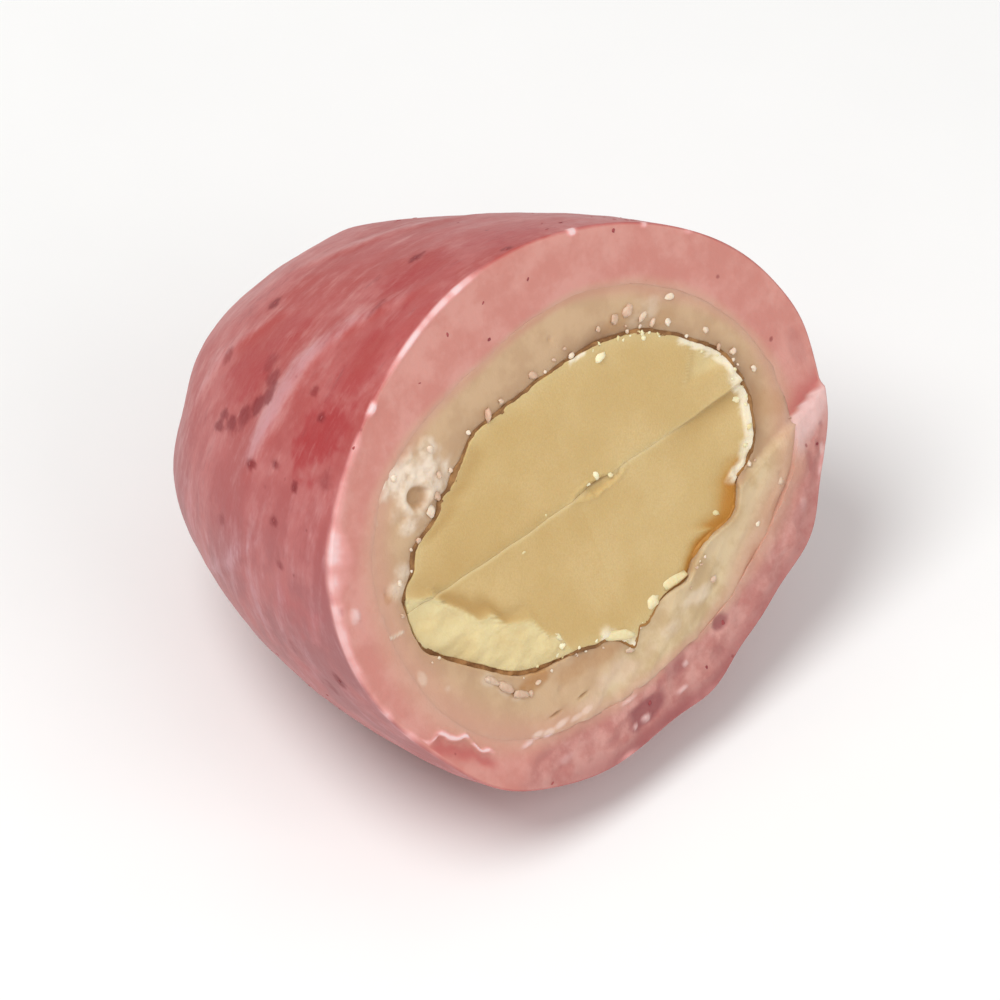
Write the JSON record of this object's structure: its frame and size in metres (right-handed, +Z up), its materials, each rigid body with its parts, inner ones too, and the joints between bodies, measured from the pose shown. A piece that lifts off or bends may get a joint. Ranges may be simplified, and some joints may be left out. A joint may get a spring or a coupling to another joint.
{
  "type": "cut half of a strawberry and white chocolate coated almond",
  "caption": "Half of an almond in white chocolate and a pink strawberry coat, cut across so that the coat, the chocolate, the brown skin and the kernel show on the face.",
  "frame": {"origin": "on the surface that the piece rests on, under the middle of its bounding box", "axes": "+X is the level direction in which the cut face looks, with the length of the almond running back from it towards -X; +Y is across the cut face, along the kernel's wide direction; +Z is up"},
  "size_m": [0.018, 0.0192, 0.0166],
  "materials": {
    "strawberry_coat": "waxy satin with a soft gloss, mottled pink with dark red specks",
    "white_chocolate": "smooth matte cream at the cut, crumbly where it broke",
    "almond_skin": "thin dry brown skin, matte",
    "almond_kernel": "cut roasted nut, matte with a faint oily sheen"
  },
  "bodies": {
    "root": {"strawberry_coat": "strawberry_coat", "white_chocolate": "white_chocolate", "almond_skin": "almond_skin", "kernel_upper": "almond_kernel", "kernel_lower": "almond_kernel"}
  },
  "joints": []
}
